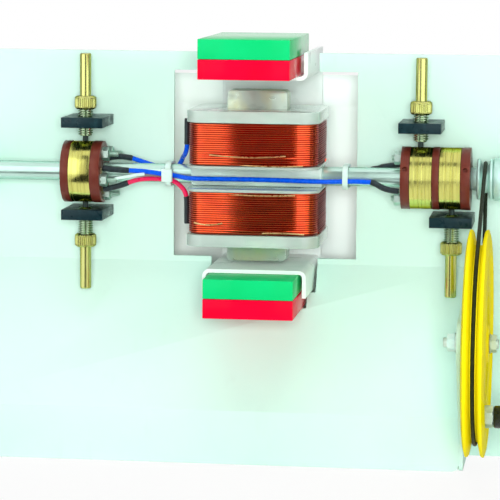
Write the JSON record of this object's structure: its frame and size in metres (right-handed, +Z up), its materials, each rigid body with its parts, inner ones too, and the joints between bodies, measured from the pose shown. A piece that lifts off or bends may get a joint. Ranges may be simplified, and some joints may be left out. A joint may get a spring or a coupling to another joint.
{
  "type": "demonstration electric motor",
  "caption": "Open demonstration electric motor: two-coil rotor between bar magnets, split commutator, slip rings, sprung brushes and a cranked belt wheel on a sheet stand.",
  "frame": {"origin": "on the table under the middle of the rotor, where the shaft axis and the rotor centre line project down", "axes": "+X along the rotor shaft towards the slip rings and the wheel, +Y back through the panel, +Z up"},
  "size_m": [0.3341, 0.1844, 0.2264],
  "materials": {
    "stand_white": "satin white enamel",
    "cover_white": "satin white enamel",
    "tray_white": "gloss white enamel",
    "bare_steel": "zinc plated",
    "bronze": "turned",
    "brass": "turned, satin",
    "nickel": "nickel plated",
    "carbon": "pressed carbon",
    "block_black": "moulded, matt",
    "magnet_green": "gloss paint",
    "magnet_red": "gloss paint",
    "shaft_steel": "ground",
    "iron": "plated, rubbed",
    "clear": "clear",
    "copper": "enamelled copper wire",
    "copper_inner": "enamelled copper wire",
    "laminate": "paper laminate",
    "wire_blue": "soft insulation",
    "wire_red": "soft insulation",
    "sleeve_black": "shrunk sleeve",
    "tie_white": "nylon",
    "pulley_alu": "turned",
    "belt_rubber": "matt",
    "wheel_yellow": "moulded",
    "handle_black": "moulded"
  },
  "bodies": {
    "stand": {"front_sheet": "stand_white", "wheel_bracket": "stand_white", "base_plate": "cover_white", "rear_cover": "cover_white", "stand_screws": "bare_steel", "yoke": "tray_white", "yoke_spacers": "bare_steel", "left_bracket": "stand_white", "right_bracket": "stand_white", "left_bush": "bronze", "right_bush": "bronze", "block_top_left": "block_black", "block_bottom_left": "block_black", "block_top_right": "block_black", "block_bottom_right": "block_black", "tube_top_left": "nickel", "tube_bottom_left": "nickel", "tube_top_right": "nickel", "tube_bottom_right": "nickel", "belt": "belt_rubber", "wheel_spacer": "tie_white", "axle_bolt": "bare_steel"},
    "rotor": {"shaft": "shaft_steel", "iron_core": "iron", "centre_block": "clear", "upper_former": "clear", "lower_former": "clear", "upper_coil_body": "copper_inner", "lower_coil_body": "copper_inner", "upper_winding": "copper", "lower_winding": "copper", "commutator_hub": "laminate", "segment_front": "brass", "segment_back": "brass", "slip_ring_hub": "laminate", "slip_ring_left": "brass", "slip_ring_right": "brass", "terminal_studs": "nickel", "terminal_nuts": "nickel", "blue_wires": "wire_blue", "red_wire": "wire_red", "wire_sleeves": "sleeve_black", "cable_ties": "tie_white", "small_pulley": "pulley_alu"},
    "belt_wheel": {"wheel": "wheel_yellow", "wheel_bush": "bronze", "crank_bolt": "bare_steel"},
    "crank_handle": {"handle": "handle_black"},
    "upper_magnet": {"top_magnet_green": "magnet_green", "top_magnet_red": "magnet_red"},
    "lower_magnet": {"bottom_magnet_green": "magnet_green", "bottom_magnet_red": "magnet_red"},
    "carbon_brush_top_left": {"brush_top_left": "carbon"},
    "brush_cap_top_left": {"cap_top_left": "brass"},
    "carbon_brush_bottom_left": {"brush_bottom_left": "carbon"},
    "brush_cap_bottom_left": {"cap_bottom_left": "brass"},
    "carbon_brush_top_right": {"brush_top_right": "carbon"},
    "brush_cap_top_right": {"cap_top_right": "brass"},
    "carbon_brush_bottom_right": {"brush_bottom_right": "carbon"},
    "brush_cap_bottom_right": {"cap_bottom_right": "brass"}
  },
  "joints": [
    {"name": "rotor_spin", "type": "hinge", "parent": "stand", "child": "rotor", "pos_m": [0, 0, 0.152], "axis": [1, 0, 0], "continuous": true},
    {"name": "wheel_spin", "type": "hinge", "parent": "stand", "child": "belt_wheel", "pos_m": [0.1203, -0.06, 0.074], "axis": [1, 0, 0], "continuous": true},
    {"name": "handle_spin", "type": "hinge", "parent": "belt_wheel", "child": "crank_handle", "pos_m": [0.149, -0.08179, 0.04045], "axis": [1, 0, 0], "continuous": true},
    {"name": "upper_magnet_slide", "type": "slide", "parent": "stand", "child": "upper_magnet", "axis": [0, -1, 0], "range_m": [0, 0.06]},
    {"name": "lower_magnet_slide", "type": "slide", "parent": "stand", "child": "lower_magnet", "axis": [0, -1, 0], "range_m": [0, 0.06]},
    {"name": "brush_slide_top_left", "type": "slide", "parent": "stand", "child": "carbon_brush_top_left", "axis": [0, 0, 1], "range_m": [0, 0.003], "stiffness_N_per_m": 200, "springref_m": -0.003},
    {"name": "brush_slide_bottom_left", "type": "slide", "parent": "stand", "child": "carbon_brush_bottom_left", "axis": [0, 0, -1], "range_m": [0, 0.003], "stiffness_N_per_m": 200, "springref_m": -0.003},
    {"name": "brush_slide_top_right", "type": "slide", "parent": "stand", "child": "carbon_brush_top_right", "axis": [0, 0, 1], "range_m": [0, 0.003], "stiffness_N_per_m": 200, "springref_m": -0.003},
    {"name": "brush_slide_bottom_right", "type": "slide", "parent": "stand", "child": "carbon_brush_bottom_right", "axis": [0, 0, -1], "range_m": [0, 0.003], "stiffness_N_per_m": 200, "springref_m": -0.003},
    {"name": "cap_turn_top_left", "type": "hinge", "parent": "stand", "child": "brush_cap_top_left", "pos_m": [-0.0936, 0, 0.189], "axis": [0, 0, 1], "continuous": true},
    {"name": "cap_turn_bottom_left", "type": "hinge", "parent": "stand", "child": "brush_cap_bottom_left", "pos_m": [-0.0936, 0, 0.115], "axis": [0, 0, -1], "continuous": true},
    {"name": "cap_turn_top_right", "type": "hinge", "parent": "stand", "child": "brush_cap_top_right", "pos_m": [0.086, 0, 0.189], "axis": [0, 0, 1], "continuous": true},
    {"name": "cap_turn_bottom_right", "type": "hinge", "parent": "stand", "child": "brush_cap_bottom_right", "pos_m": [0.1029, 0, 0.115], "axis": [0, 0, -1], "continuous": true}
  ],
  "couplings": [
    {"joint": "wheel_spin", "follows": "rotor_spin", "ratio": 0.1652}
  ]
}
